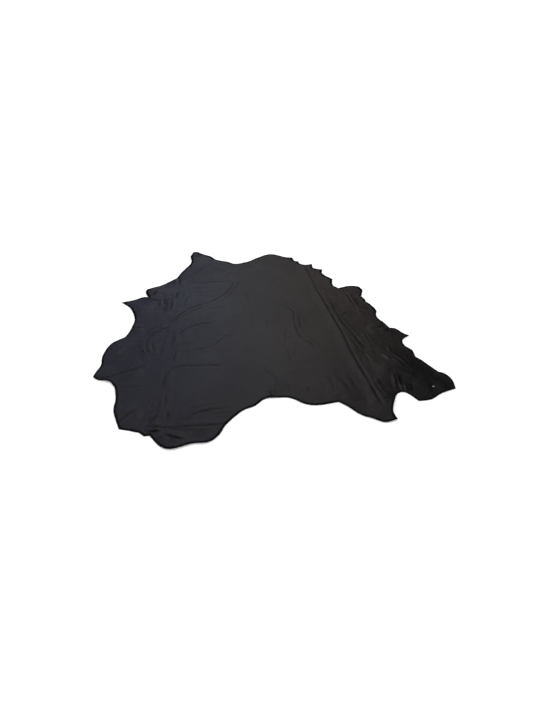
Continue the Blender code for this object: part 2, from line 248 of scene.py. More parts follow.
# left and right: the swells' heights, as one walks the route; steep: from the line to a swell's
# top; gentle: from there to flat again. All four are in millimetres, and the route is in metres.
FOLDS = [Fold(*row) for row in (
    ("packing crease", 3.4, 3.2, 9, 70, (
        (0.655, -0.93), (0.64, -0.86), (0.628, -0.78), (0.592, -0.6), (0.555, -0.4),
        (0.53, -0.2), (0.492, 0.0), (0.47, 0.13), (0.44, 0.3), (0.41, 0.43),
        (0.375, 0.65), (0.358, 0.78), (0.34, 0.96))),
    ("crease beside it", 1.1, 1.5, 11, 40, (
        (0.65, -0.345), (0.628, -0.27), (0.605, -0.2), (0.582, -0.14), (0.56, -0.085),
        (0.54, -0.01), (0.525, 0.07), (0.51, 0.16), (0.49, 0.3))),
    ("tab crease", 2, 3.8, 10, 45, (
        (0.677, 0.103), (0.658, 0.242), (0.643, 0.342), (0.615, 0.451))),
    ("tab wrinkle", 3.1, 2.6, 11, 35, ((0.543, 0.063), (0.578, 0.091), (0.633, 0.133))),
    ("right wrinkle 1", 1.4, 2.3, 9, 32, ((0.622, -0.406), (0.592, -0.306), (0.565, -0.216))),
    ("right wrinkle 2", 0.9, 1, 9, 32, (
        (0.665, -0.6), (0.655, -0.55), (0.64, -0.45), (0.615, -0.41))),
    ("right wrinkle 3", 1.4, 2, 9, 32, ((0.685, -0.864), (0.652, -0.745), (0.628, -0.645))),
    ("right wrinkle 4", 1, 1, 9, 32, ((0.712, -0.505), (0.682, -0.45), (0.642, -0.386))),
    ("right wrinkle 5", 1.5, 1.1, 9, 30, (
        (0.7, -0.33), (0.69, -0.28), (0.68, -0.2), (0.665, -0.13))),
    ("right end crease", 2.4, 3, 9, 34, (
        (0.885, -0.59), (0.855, -0.54), (0.83, -0.49), (0.8, -0.44), (0.765, -0.395))),
    ("right end crease 2", 5, 2.2, 8, 26, ((0.8, -0.492), (0.775, -0.452), (0.746, -0.412))),
    ("right end tick", 2.8, 1, 9, 24, ((0.812, -0.41), (0.818, -0.36), (0.818, -0.31))),
    ("right spike trough", 3.4, 2.1, 18, 50, ((0.707, -0.156), (0.772, -0.112), (0.852, -0.077))),
    ("bay crease 1", 4.8, 3.6, 8, 20, (
        (0.777, -0.783), (0.774, -0.734), (0.777, -0.678), (0.78, -0.615))),
    ("bay crease 2", 6, 5.2, 8, 14, ((0.802, -0.788), (0.802, -0.747), (0.8, -0.711))),
    ("bay crease 3", 5.4, 5, 7, 14, ((0.827, -0.801), (0.827, -0.761), (0.832, -0.715))),
    ("right end ridge", 1, 1, 0, 9, ((1.01, -0.73), (0.996, -0.67), (0.976, -0.595))),
    ("right end wrinkle", 0.5, 0.4, 10, 30, ((0.907, -0.884), (0.932, -0.764), (0.927, -0.695))),
    ("near right 1", 1.2, 1.2, 14, 45, ((0.4, -0.804), (0.396, -0.725), (0.39, -0.635))),
    ("near right 2", 1.2, 0.7, 12, 45, ((0.494, -0.804), (0.472, -0.725), (0.427, -0.645))),
    ("near right 3", 1, 1.5, 12, 45, ((0.54, -0.784), (0.512, -0.665), (0.484, -0.585))),
    ("near right 4", 1.1, 1.6, 13, 38, ((0.258, -0.804), (0.238, -0.735))),
    ("near right lobe 1", 0.4, 0.4, 12, 35, ((0.58, -0.984), (0.567, -0.884), (0.562, -0.794))),
    ("near right lobe 2", 0.4, 0.6, 12, 35, ((0.624, -1.004), (0.612, -0.904))),
    ("middle crease 1", 1.3, 1.8, 12, 45, (
        (0.338, -0.386), (0.303, -0.306), (0.258, -0.256), (0.228, -0.196), (0.208, -0.097),
        (0.198, -0.007), (0.203, 0.103), (0.169, 0.167), (0.109, 0.232), (0.064, 0.277))),
    ("middle crease 2", 1, 1.9, 11, 40, ((0.245, -0.14), (0.238, 0.0), (0.228, 0.09))),
    ("middle crease 3", 0.9, 0.9, 12, 35, ((0.135, -0.33), (0.135, -0.2), (0.13, -0.1))),
    ("middle crease 4", 1.2, 1.2, 12, 35, ((0.165, -0.52), (0.15, -0.42), (0.145, -0.34))),
    ("neck crease 1", 5.2, 4.2, 9, 30, ((0.043, -0.874), (0.023, -0.755))),
    ("neck crease 2", 0.8, 0.5, 14, 45, (
        (0.051, -0.794), (0.073, -0.705), (0.053, -0.655), (0.003, -0.585), (-0.042, -0.475))),
    ("middle crease 5", 1.1, 1.1, 13, 32, ((0.016, -0.136), (0.004, 0.033))),
    ("middle crease 6", 0.6, 0.6, 14, 40, ((-0.071, -0.176), (-0.101, -0.007), (-0.114, 0.113))),
    ("middle crease 7", 0.7, 0.7, 16, 40, ((-0.126, 0.182), (-0.146, 0.312), (-0.166, 0.451))),
    ("far left arc 1", 1.4, 1.9, 14, 60, (
        (-0.695, -0.047), (-0.655, 0.043), (-0.595, 0.133), (-0.545, 0.187), (-0.495, 0.227),
        (-0.445, 0.257), (-0.395, 0.312), (-0.355, 0.362), (-0.325, 0.412), (-0.293, 0.501),
        (-0.273, 0.611))),
    ("far left arc 2", 1.4, 2, 13, 40, (
        (-0.695, -0.037), (-0.645, 0.011), (-0.595, 0.063), (-0.555, 0.113), (-0.515, 0.158),
        (-0.435, 0.21))),
    ("far left arc 3", 0.8, 1.2, 14, 45, (
        (-0.375, 0.282), (-0.305, 0.352), (-0.275, 0.412), (-0.257, 0.471), (-0.24, 0.551),
        (-0.225, 0.641))),
    ("far left arc 4", 1.1, 1.7, 13, 40, ((-0.475, 0.135), (-0.375, 0.182), (-0.266, 0.204))),
    ("left flank crease 1", 3.6, 3.2, 13, 36, (
        (-0.715, 0.095), (-0.718, 0.16), (-0.722, 0.23), (-0.74, 0.33))),
    ("left flank dimple", 3.7, 2.7, 11, 36, ((-0.706, 0.3), (-0.711, 0.37), (-0.714, 0.445))),
    ("left edge dimple", 6.5, 6, 19, 36, ((-0.714, 0.515), (-0.725, 0.6), (-0.728, 0.69))),
    ("left flank crease 2", 6, 6.5, 18, 34, ((-0.76, 0.195), (-0.783, 0.262), (-0.798, 0.335))),
    ("left spike crease", 6.5, 4.6, 17, 50, (
        (-0.974, 0.322), (-0.894, 0.292), (-0.854, 0.284), (-0.795, 0.254))),
    ("far flank furrow", 5.5, 6, 17, 26, ((-0.906, 0.345), (-0.886, 0.41), (-0.868, 0.475))),
    ("far flank ridge", 3.8, 3.8, 0, 22, ((-0.872, 0.342), (-0.842, 0.422), (-0.805, 0.511))),
    ("far left shank trough", 1.4, 1.7, 20, 60, (
        (-0.674, 0.661), (-0.634, 0.74), (-0.604, 0.79), (-0.574, 0.86), (-0.549, 0.949))),
    ("far left ripple 1", 1.5, 1.1, 20, 45, ((-0.654, 0.585), (-0.445, 0.603), (-0.285, 0.631))),
    ("far left ripple 2", 0.7, 0.7, 18, 40, ((-0.665, 0.501), (-0.535, 0.496), (-0.425, 0.503))),
    ("far left ripple 3", 1, 1, 18, 40, ((-0.655, 0.437), (-0.515, 0.431), (-0.395, 0.435))),
    ("far left ripple 4", 0.7, 0.7, 16, 35, ((-0.615, 0.378), (-0.495, 0.37), (-0.385, 0.376))),
    ("belly crease 1", 1.1, 1.6, 12, 42, (
        (-0.6, -0.32), (-0.625, -0.24), (-0.646, -0.15), (-0.66, -0.05))),
    ("belly crease 2", 2.1, 2.8, 11, 34, ((-0.591, -0.505), (-0.576, -0.391))),
    ("near left arc", 1.4, 2, 24, 60, (
        (-0.588, -0.804), (-0.602, -0.705), (-0.599, -0.64), (-0.578, -0.58), (-0.526, -0.552),
        (-0.446, -0.545), (-0.346, -0.54), (-0.236, -0.545))),
    ("left middle arc 1", 1.2, 1.2, 14, 55, (
        (-0.586, -0.398), (-0.476, -0.376), (-0.396, -0.354), (-0.346, -0.316), (-0.306, -0.266),
        (-0.271, -0.211), (-0.176, -0.192))),
    ("left middle arc 2", 1.3, 1.7, 14, 45, (
        (-0.608, -0.226), (-0.576, -0.141), (-0.536, -0.102), (-0.496, -0.07), (-0.436, -0.047),
        (-0.346, -0.023))),
    ("left middle arc 3", 1.2, 1.7, 12, 35, ((-0.621, -0.306), (-0.546, -0.301), (-0.456, -0.301))),
    ("left waist crease 1", 7, 7.6, 19, 42, (
        (-0.79, -0.235), (-0.772, -0.18), (-0.735, -0.133), (-0.665, -0.067))),
    ("left waist crease 2", 3.8, 4.8, 12, 32, (
        (-0.734, -0.445), (-0.778, -0.365), (-0.798, -0.29), (-0.795, -0.225))),
    ("left waist crease 3", 1.5, 1.9, 10, 26, (
        (-0.722, -0.406), (-0.746, -0.336), (-0.757, -0.265))),
    ("left waist crease 4", 1.7, 2, 11, 30, ((-0.812, -0.425), (-0.83, -0.356), (-0.848, -0.286))),
    ("left edge crease", 4, 6, 17, 40, ((-0.955, -0.128), (-0.905, -0.113), (-0.845, -0.104))),
    ("left edge ripple 1", 1.8, 1.8, 12, 26, (
        (-0.985, -0.445), (-0.955, -0.366), (-0.95, -0.296))),
    ("left edge ripple 2", 1.9, 1.9, 10, 26, ((-0.965, -0.495), (-0.92, -0.416))),
    ("left waist ridge", 3.4, 3.4, 0, 30, ((-0.959, -0.472), (-0.96, -0.412), (-0.951, -0.362))),
    ("near left shank trough", 4.6, 5, 30, 100, (
        (-1.02, -0.715), (-0.96, -0.668), (-0.9, -0.635), (-0.83, -0.595), (-0.73, -0.535))),
    ("cheek crease 1", 1.4, 1.4, 14, 42, (
        (-0.886, -0.77), (-0.796, -0.758), (-0.736, -0.748), (-0.636, -0.74))),
    ("left cheek trough", 8, 7, 38, 70, (
        (-0.805, -1.085), (-0.768, -1.03), (-0.735, -0.98), (-0.69, -0.91))),
    ("cheek crease 2", 4.5, 4, 13, 30, (
        (-0.572, -1.029), (-0.582, -0.974), (-0.59, -0.924), (-0.586, -0.854))),
    ("cheek crease 3", 2.1, 2.3, 10, 30, ((-0.545, -0.93), (-0.573, -0.8))),
    ("cheek crease 4", 2.6, 2.6, 10, 28, ((-0.521, -1.028), (-0.53, -0.94))),
    ("cheek crease 5", 1.2, 1.2, 12, 32, (
        (-0.575, -1.01), (-0.605, -0.95), (-0.65, -0.89), (-0.691, -0.834))),
    ("near left wrinkle 1", 1.3, 1.1, 10, 34, (
        (-0.447, -0.938), (-0.347, -0.914), (-0.237, -0.872))),
    ("near left wrinkle 2", 1.8, 1.1, 11, 36, (
        (-0.457, -1.03), (-0.405, -1.009), (-0.39, -0.984), (-0.35, -0.962), (-0.297, -0.944),
        (-0.177, -0.922))),
    ("near left wrinkle 4", 1.1, 1.1, 9, 24, (
        (-0.33, -0.975), (-0.23, -0.972), (-0.13, -0.955))),
    ("near left wrinkle 5", 0.7, 0.9, 9, 24, (
        (-0.31, -1.008), (-0.22, -1.003), (-0.15, -0.99))),
    ("near left ridge", 2.7, 0.4, 9, 40, (
        (-0.657, -1.078), (-0.547, -1.078), (-0.397, -1.072), (-0.297, -1.063), (-0.137, -1.04))),
    ("near left wrinkle 3", 1.5, 0.8, 9, 22, (
        (-0.575, -1.09), (-0.46, -1.094), (-0.35, -1.099), (-0.245, -1.1))),
    ("near left pleat", 5.4, 0.8, 9, 40, (
        (-0.531, -1.113), (-0.508, -1.127), (-0.474, -1.145), (-0.441, -1.159), (-0.394, -1.169))),
    ("near left pleat end", 6, 0.8, 9, 40, (
        (-0.623, -1.117), (-0.598, -1.114), (-0.573, -1.112), (-0.53, -1.106))),
    ("cheek wrinkle 1", 4.6, 4.6, 12, 22, ((-0.634, -1.092), (-0.607, -1.073), (-0.567, -1.051))),
    ("cheek wrinkle 2", 3.9, 3.9, 10, 18, ((-0.611, -1.043), (-0.593, -1.017), (-0.585, -0.971))),
    ("cheek wrinkle 3", 4.2, 4.2, 11, 18, ((-0.594, -1.096), (-0.569, -1.079), (-0.542, -1.061))),
    ("cheek wrinkle 4", 0.9, 0.9, 9, 20, ((-0.64, -1.03), (-0.612, -0.985))),
    ("near left lobe 1", 2.6, 2.6, 11, 26, ((-0.557, -1.175), (-0.507, -1.135))),
    ("near left lobe 2", 0.9, 0.9, 10, 26, ((-0.497, -1.211), (-0.457, -1.161))),
)]
print("folds:", len(FOLDS))

# %% [markdown]
# A ruler-straight route would look machined. Each route is first drawn as a smooth curve through
# its points and then wanders a few millimetres.

# %% Draw a fold's line
LINE_SPACING = 0.008
WANDER = 0.0035
WANDER_SCALE = 9.0
FINE_WANDER_SCALE = 30.0
FINE_WANDER_SHARE = 0.4
FIRST_SEED = 10.0
SEED_STEP = 3.7
FoldLine = namedtuple("FoldLine", "fold seed points along")


def draw_line(fold, seed):
    """The fold with its wandering line and the distance along it at each of the line's points."""
    route = [Vector(point) for point in fold.route]
    smooth = [*run_through(route, LINE_SPACING), route[-1]]
    line = []
    for here, there in zip(smooth, smooth[1:] + [smooth[-1] * 2 - smooth[-2]]):
        across = (there - here).orthogonal().normalized()
        away = drift(here.x, here.y, Noise(WANDER_SCALE, seed))
        away += FINE_WANDER_SHARE * drift(here.x, here.y, Noise(FINE_WANDER_SCALE, seed))
        line.append(here + across * away * WANDER)
    points = np.array([tuple(point) for point in line])
    steps = np.linalg.norm(np.diff(points, axis=0), axis=1)
    return FoldLine(fold, seed, points, np.concatenate([[0.0], np.cumsum(steps)]))


fold_lines = [draw_line(fold, FIRST_SEED + SEED_STEP * count) for count, fold in enumerate(FOLDS)]
print("fold length, m:", round(sum(line.along[-1] for line in fold_lines), 2))

# %% [markdown]
# A point's height depends on how far it is from the line, and how far along the line it lies. Each
# short step of the line is tried in turn, for all points at once, and the nearest step wins.

# %% Measure points against a line
def beside(line, points):
    """Each point's distance from the line, positive on its left, and distance along it."""
    nearest = np.full(len(points), np.inf)
    side = np.zeros(len(points))
    along = np.zeros(len(points))
    for start, end, before in zip(line.points, line.points[1:], line.along):
        step = end - start
        length = math.hypot(*step)
        share = np.clip((points - start) @ step / length**2, 0.0, 1.0)
        away = points - (start + share[:, None] * step)
        distance = np.hypot(away[:, 0], away[:, 1])
        closer = distance < nearest
        turn = step[0] * away[:, 1] - step[1] * away[:, 0]
        nearest = np.where(closer, distance, nearest)
        side = np.where(closer, np.where(turn > 0, distance, -distance), side)
        along = np.where(closer, before + share * length, along)
    return side, along


print("longest fold:", max(fold_lines, key=lambda line: line.along[-1]).fold.name)

# %% [markdown]
# Across the line, a swell climbs to its top and falls to nothing again. Along the line it fades in
# and out, and it grows and shrinks on the way. How much of a crease each point lies in is worked
# out too: the material makes the cracked finish rougher there, and darker as a painted shade.

# %% Work out one fold's heights
FADE = 0.085
SHORTEST_FADE_SHARE = 2.5
SWING = 0.45
SWING_SCALE = 11.0
SWING_SEED = 40.0
SWING_STEP = 0.02
CREASE_WIDTH = 5.5
FULL_CREASE = 2.5


def eased(share):
    """Rise smoothly from 0 to 1 as share goes from 0 to 1."""
    share = np.clip(share, 0.0, 1.0)
    return share * share * (3.0 - 2.0 * share)


def strength_along(line, along):
    """How strong the fold is at each distance along its line, about 1 in the middle."""
    length = line.along[-1]
    fade_length = min(FADE, length / SHORTEST_FADE_SHARE)
    fade = eased(along / fade_length) * eased((length - along) / fade_length)
    grid = np.arange(0.0, length + SWING_STEP * 1.5, SWING_STEP)
    kind = Noise(SWING_SCALE, line.seed + SWING_SEED)
    swing = [1.0 + SWING * drift(step, 0.0, kind) for step in grid]
    return fade * np.interp(along, grid, swing)


def fold_heights(line, points):
    """Height in metres at each point, and how much of a crease it is, from 0 to 1."""
    fold = line.fold
    height = np.zeros(len(points))
    crease = np.zeros(len(points))
    reach = (fold.steep + fold.gentle) * MM
    low, high = line.points.min(0) - reach, line.points.max(0) + reach
    near = np.flatnonzero(((points > low) & (points < high)).all(axis=1))
    side, along = beside(line, points[near])
    strength = strength_along(line, along)
    distance = np.abs(side) / MM
    rise = np.where(side > 0, fold.left, fold.right) * MM
    climb = eased(distance / fold.steep) if fold.steep else 1.0
    fall = 1.0 - eased((distance - fold.steep) / fold.gentle)
    height[near] = rise * strength * climb * fall
    if fold.steep:
        depth = min(max(fold.left, fold.right) / FULL_CREASE, 1.0)
        crease[near] = depth * strength * np.exp(-((distance / CREASE_WIDTH) ** 2))
    return height, crease


print("fold reach, mm: up to", max(fold.steep + fold.gentle for fold in FOLDS))

# %% [markdown]
# ## One fine sheet
#
# A plain grid would leave a sawtooth margin. A Delaunay mesh joins any cloud of points into even
# triangles, so the points are laid where the shape needs them. Along the cut runs a strip that gets
# a material of its own, and no point lies between the cut and the row that ends the strip.

# %% Tell what lies inside the cut
NEAR_INSET = 0.011
FAR_INSET = 0.020
INSET_WIDENING = Ramp(-0.6, 1.2)
cut = np.array([tuple(point) for point in cut_margin])


def within(points, ring):
    """Which points lie inside the ring, by counting the ring's crossings to their right."""
    inside = np.zeros(len(points), bool)
    x, y = points[:, 0], points[:, 1]
    corners = np.array([tuple(point) for point in ring])
    for (x0, y0), (x1, y1) in zip(corners, np.roll(corners, -1, axis=0)):
        if y0 != y1:
            crossed = ((y0 > y) != (y1 > y)) & (x < (x1 - x0) * (y - y0) / (y1 - y0) + x0)
            inside ^= crossed
    return inside


def distance_to_cut(points):
    """Distance in metres from each point to the cut margin, of which every other point will do."""
    nearest = np.full(len(points), np.inf)
    for x, y in cut[::2]:
        away = np.hypot(points[:, 0] - x, points[:, 1] - y)
        nearest = np.minimum(nearest, away)
    return nearest


def inset(y):
    """Width of the strip along the cut, which is wider towards the far end."""
    return NEAR_INSET + (FAR_INSET - NEAR_INSET) * ramp_up(y, INSET_WIDENING)


print("strip along the cut, mm: from", NEAR_INSET / MM, "to", FAR_INSET / MM)

# %% [markdown]
# Points that crowd make slivers, which shade badly. So each new point keeps its distance from the
# ones already there. Only those in the square cells around it have to be compared.

# %% Keep points apart
CELL = 0.008


class Spread:
    """Points that keep a gap to each other, in square cells so that neighbours are found fast."""

    def __init__(self):
        self.points = []
        self.cells = {}

    def crowded(self, x, y, gap):
        reach = math.ceil(gap / CELL)
        column, row = math.floor(x / CELL), math.floor(y / CELL)
        for i in range(column - reach, column + reach + 1):
            for j in range(row - reach, row + reach + 1):
                for u, v in self.cells.get((i, j), ()):
                    if (u - x) ** 2 + (v - y) ** 2 < gap * gap:
                        return True
        return False

    def add(self, points, gap=0.0):
        for x, y in points:
            if gap and self.crowded(x, y, gap):
                continue
            self.points.append((x, y))
            self.cells.setdefault((math.floor(x / CELL), math.floor(y / CELL)), []).append((x, y))


spread = Spread()
spread.add(cut)
spread.add([tuple(point) for point in hole])
print("points on the cut and round the hole:", len(spread.points))

# %% [markdown]
# Three kinds of point fill the sheet, and the most important come first, since a later point gives
# way to an earlier one: the row that ends the strip along the cut, rows that run along each fold
# where its slope turns, and a loose triangular lattice everywhere else.

# %% Lay out the points
ROW_SHARES = (0.0, 0.5, -0.5, 1.0, -1.0, 1.9, -1.9)
ROW_GAP = 0.0048
NARROWEST_STEEP = 9
CLOSEST_INSET = 0.9
INSET_GAP_SHARE = 0.7
FIELD_SPACING = 0.0125
FIELD_GAP = 0.0078
FIELD_NUDGE = 0.18
FIELD_SEED = 5


def inset_row(ring):
    """A row of points just inside the cut, so that shading turns only at the very edge."""
    row = []
    for before, here, after in with_neighbours(ring):
        along = (after - before).normalized()
        row.append(here + Vector((-along.y, along.x)) * inset(here.y))
    return np.array([tuple(point) for point in row])


def fold_rows(line):
    """Points in rows along a fold: on its line, half way up, on the swells' tops and beyond."""
    steep = max(line.fold.steep, NARROWEST_STEEP) * MM
    start, end = line.points[:-1], line.points[1:]
    step = end - start
    across = np.column_stack([-step[:, 1], step[:, 0]])
    across /= np.linalg.norm(across, axis=1)[:, None]
    return np.vstack([(start + end) / 2 + across * steep * share for share in ROW_SHARES])


def lattice():
    """A triangular lattice over the hide's box, each point nudged off its place."""
    low, high = cad_box
    random = np.random.default_rng(FIELD_SEED)
    rows = np.arange(low.y, high.y, FIELD_SPACING * math.sqrt(3) / 2)
    columns = np.arange(low.x, high.x, FIELD_SPACING)
    x, y = np.meshgrid(columns, rows)
    x = x + (np.arange(len(rows)) % 2)[:, None] * FIELD_SPACING / 2
    points = np.column_stack([x.ravel(), y.ravel()])
    return points + random.uniform(-FIELD_NUDGE, FIELD_NUDGE, points.shape) * FIELD_SPACING


def well_inside(points, share=1.0):
    """The points inside the cut that keep at least this share of the strip's width from it."""
    points = points[within(points, cut_margin)]
    return points[distance_to_cut(points) > inset(points[:, 1]) * share]


spread.add(well_inside(inset_row(cut_margin), CLOSEST_INSET), NEAR_INSET * INSET_GAP_SHARE)
spread.add(well_inside(np.vstack([fold_rows(line) for line in fold_lines])), ROW_GAP)
spread.add(well_inside(lattice()), FIELD_GAP)
print("points:", len(spread.points))

# %% [markdown]
# Blender's own Delaunay function is given the cut and the hole as edges that have to stay, and it
# leaves out what lies beyond the cut. It fills the hole too, so those triangles are taken out.

# %% Join them into a flat sheet
INSIDE_ONLY = 1
SAME_POINT = 1e-6


def flat_sheet(points, margin_size, hole_size):
    """The Delaunay triangles inside the margin, without those that would close the hole."""
    rings = [range(margin_size), range(margin_size, margin_size + hole_size)]
    edges = [(ring[i - 1], ring[i]) for ring in rings for i in range(len(ring))]
    corners = [Vector(point) for point in points]
    outline = [list(rings[0])]
    made, _, faces, *_ = geometry.delaunay_2d_cdt(corners, edges, outline, INSIDE_ONLY, SAME_POINT)
    flat = np.array([tuple(point) for point in made])
    triangles = np.array(faces)
    middles = flat[triangles].mean(axis=1)
    return flat, triangles[~within(middles, hole)]


flat, triangles = flat_sheet(spread.points, len(cut_margin), len(hole))
print("sheet:", len(flat), "vertices,", len(triangles), "triangles")

# %% [markdown]
# ## How the leather lies
#
# Under its folds the leather lies as loose skin does: tight in the middle of the back, where it is
# in full contact, and slacker towards the belly and the shanks. Where a shank, a flank or a lobe
# was pulled about, it stands off the floor in a low swell, which turns that place a little towards
# the light or away from it.

# %% The table of swells
Swell = namedtuple("Swell", "name x y radius height")
SWELLS = (
    Swell("far left shank", -0.64, 1.06, 0.15, 0.01),
    Swell("far left flank", -0.87, 0.45, 0.16, 0.009),
    Swell("left spike", -0.93, 0.13, 0.14, 0.008),
    Swell("left waist", -0.985, -0.33, 0.15, 0.008),
    Swell("near left shank tip", -1.01, -0.62, 0.11, 0.006),
    Swell("near left lobe", -0.46, -1.2, 0.1, 0.005),
    Swell("right spike", 0.8, -0.17, 0.16, 0.005),
    Swell("right end", 0.79, -0.57, 0.27, 0.013),
    Swell("near right lobe", 0.74, -0.93, 0.2, 0.01),
)
print("swells:", len(SWELLS))

# %% [markdown]
# Between its named creases, loose skin is covered in small ruffles that run roughly along the
# backbone, far too many to place one by one. So each patch of loose skin is an oval that fades out
# at its rim, filled with noise that is drawn out along the hide's length.

# %% The table of ruffled patches
Ruffle = namedtuple("Ruffle", "name x y half_width half_depth height")
RUFFLES = (
    Ruffle("left belly", -0.7, -0.25, 0.26, 0.42, 0.0034),
    Ruffle("left flank", -0.74, 0.3, 0.26, 0.42, 0.0032),
    Ruffle("near left cheek", -0.6, -1.0, 0.26, 0.22, 0.004),
    Ruffle("near left lobe", -0.43, -1.16, 0.2, 0.09, 0.0026),
    Ruffle("right side", 0.7, -0.35, 0.24, 0.52, 0.0013),
    Ruffle("right flank", 0.66, 0.2, 0.2, 0.42, 0.0011),
    Ruffle("near right lobe", 0.64, -0.94, 0.16, 0.16, 0.0014),
    Ruffle("neck", 0.15, -0.8, 0.4, 0.16, 0.0014),
    Ruffle("middle", 0.15, -0.15, 0.3, 0.5, 0.0006),
)
RUFFLE_STRETCH = 0.33
RUFFLE_NOISE = Noise(28.0, 11.0)
FINE_RUFFLE_NOISE = Noise(60.0, 12.0)
FINE_RUFFLE_SHARE = 0.5


def noise_field(points, kind):
    return np.array([drift(x, y, kind) for x, y in points])


def ruffles(points):
    """The height of the ruffles at each point."""
    drawn_out = points * (1.0, RUFFLE_STRETCH)
    streaks = noise_field(drawn_out, RUFFLE_NOISE)
    streaks += FINE_RUFFLE_SHARE * noise_field(drawn_out, FINE_RUFFLE_NOISE)
    depth = np.zeros(len(points))
    for patch in RUFFLES:
        across = (points[:, 0] - patch.x) / patch.half_width
        down = (points[:, 1] - patch.y) / patch.half_depth
        depth = np.maximum(depth, patch.height * (1.0 - eased(np.hypot(across, down))))
    return depth * streaks


ruffle_height = ruffles(flat)
print("ruffles, mm:", round(ruffle_height.min() / MM, 1), "to", round(ruffle_height.max() / MM, 1))

# %% [markdown]
# At the near left lobe the leather is doubled into a small pleat. Its upper layer leans out over
# the line where it starts, and that overhang throws the two short black shadows there. A height
# alone can't lean, so the points of the upper layer also slide sideways.

# %% The lean of the pleat
PLEAT_LEAN = 0.009
LEAN_FALL = 0.6
LEANING_FOLDS = {"near left pleat", "near left pleat end"}


def lean(points, line, amount):
    """How far the top of a step leans over its line, as a shift of every point."""
    fold = line.fold
    side, along = beside(line, points)
    length = line.along[-1]
    fade = eased(along / FADE) * eased((length - along) / FADE)
    distance = side / MM
    strength = np.where(side > 0, eased(distance / fold.steep), 0.0)
    strength = strength * (1.0 - eased((distance - fold.steep) / (fold.gentle * LEAN_FALL)))
    start, end = line.points[0], line.points[-1]
    forward = np.array([end[1] - start[1], start[0] - end[0]]) / math.hypot(*(end - start))
    return (strength * fade * amount)[:, None] * forward


shift = np.zeros((len(flat), 2))
for line in fold_lines:
    if line.fold.name in LEANING_FOLDS:
        shift += lean(flat, line, PLEAT_LEAN)
print("farthest slide, mm:", round(np.hypot(*shift.T).max() / MM, 1))

# %% [markdown]
# Now everything is added up. The broad waves are noise at three sizes and grow towards the cut,
# and the cut itself curls up here and there over its last three centimetres. The press is a smooth
# version of "never below zero": it leaves the high parts as they are and lays the low ones flat.

# %% Add up the heights
SLACK_WIDTH = 0.40
SLACK_IN_THE_MIDDLE = 0.15
WAVE_HEIGHT = 0.006
WAVES = ((1.0, Noise(4.2, 1.0)), (0.5, Noise(9.5, 2.0)), (0.18, Noise(24.0, 5.0)))
CURL_WIDTH = 0.030
CURL_HEIGHT = 0.004
CURL_NOISE = Noise(7.0, 6.0)
CURL_BIAS = 0.25
PRESS = 0.0006

to_cut = distance_to_cut(flat)
height = np.zeros(len(flat))
crease = np.zeros(len(flat))
for line in fold_lines:
    rise, depth = fold_heights(line, flat)
    height += rise
    crease = np.maximum(crease, depth)
for swell in SWELLS:
    away = np.hypot(flat[:, 0] - swell.x, flat[:, 1] - swell.y)
    height += swell.height * (1.0 - eased(away / swell.radius))
slack = SLACK_IN_THE_MIDDLE + (1.0 - SLACK_IN_THE_MIDDLE) * (1.0 - eased(to_cut / SLACK_WIDTH))
height += WAVE_HEIGHT * slack * sum(share * noise_field(flat, kind) for share, kind in WAVES)
curl = np.maximum(noise_field(flat, CURL_NOISE) + CURL_BIAS, 0.0)
height += CURL_HEIGHT * curl * (1.0 - eased(to_cut / CURL_WIDTH))
height = (height + np.sqrt(height**2 + PRESS**2)) / 2
height += ruffle_height
height -= height.min()
print("heights, mm: highest", round(height.max() / MM, 1), "mean", round(height.mean() / MM, 2))

# %% [markdown]
# The sheet gets its real thickness from Solidify, which grows it upward. Two numbers go with every
# vertex for the materials to use: how near it is to the cut, and how deep it lies in a crease.
# Solidify also gives the three surfaces of leather their own material slots: grain on top, flesh
# below and the raw cut round the rim. A strip of the grain along the cut gets a fourth: dull, dark
# leather whose darkness is partly painted shade, the dark line of the edge's contact shadow round
# the hide, and partly finish rubbed off by trimming.

# %% Raise the sheet and give it thickness
THICKNESS = 0.0015
EDGE_BAND = 0.028
DULL_EDGE_SLOT = 3
DULL_EDGE_REACH = 1.1


def store(mesh, name, values):
    attribute = mesh.attributes.new(name, "FLOAT", "POINT")
    attribute.data.foreach_set("value", values)


def leather_sheet():
    bm = bmesh.new()
    for (x, y), (u, v), z in zip(flat, shift, height):
        bm.verts.new((x + u, y + v, z))
    bm.verts.ensure_lookup_table()
    for triangle in triangles:
        bm.faces.new([bm.verts[corner] for corner in triangle])
    bmesh.ops.recalc_face_normals(bm, faces=bm.faces)
    if sum(face.normal.z for face in bm.faces) < 0:
        bmesh.ops.reverse_faces(bm, faces=bm.faces)
    mesh = bpy.data.meshes.new("leather_sheet")
    bm.to_mesh(mesh)
    bm.free()
    # The strip along the cut is dull and dark, partly a painted shade of the edge's dark line.
    strip = to_cut < inset(flat[:, 1]) * DULL_EDGE_REACH
    for polygon in mesh.polygons:
        if strip[list(polygon.vertices)].all():
            polygon.material_index = DULL_EDGE_SLOT
    store(mesh, "near_cut", np.clip(1.0 - to_cut / EDGE_BAND, 0.0, 1.0))
    store(mesh, "in_crease", crease)
    mesh.shade_smooth()
    return mesh


hide = bpy.data.objects.new("leather_sheet", leather_sheet())
bpy.context.scene.collection.objects.link(hide)
solid = hide.modifiers.new("thickness", "SOLIDIFY")
solid.thickness = THICKNESS
solid.offset = 1.0
solid.material_offset = 1
solid.material_offset_rim = 2
print("thickness, mm:", THICKNESS / MM)

# %% [markdown]
# ## Leather
#
# Finished black leather is two things at once: a very dark dye, and a clear, slightly uneven
# finish whose sheen is most of what the eye sees. So the colour is nearly black, and the work goes
# into roughness and bump. The helpers in the next two cells keep each material short.

# %% Node helpers
def feed(tree, socket, value):
    """Link an input to another node's output, or set it to a plain value."""
    if isinstance(value, bpy.types.NodeSocket):
        tree.links.new(value, socket)
    else:
        socket.default_value = value


def add_node(tree, kind, inputs, **settings):
    """A new node; its inputs go by their names or numbers."""
    made = tree.nodes.new(kind)
    for name, value in settings.items():
        setattr(made, name, value)
    for name, value in inputs.items():
        feed(tree, made.inputs[name], value)
    return made


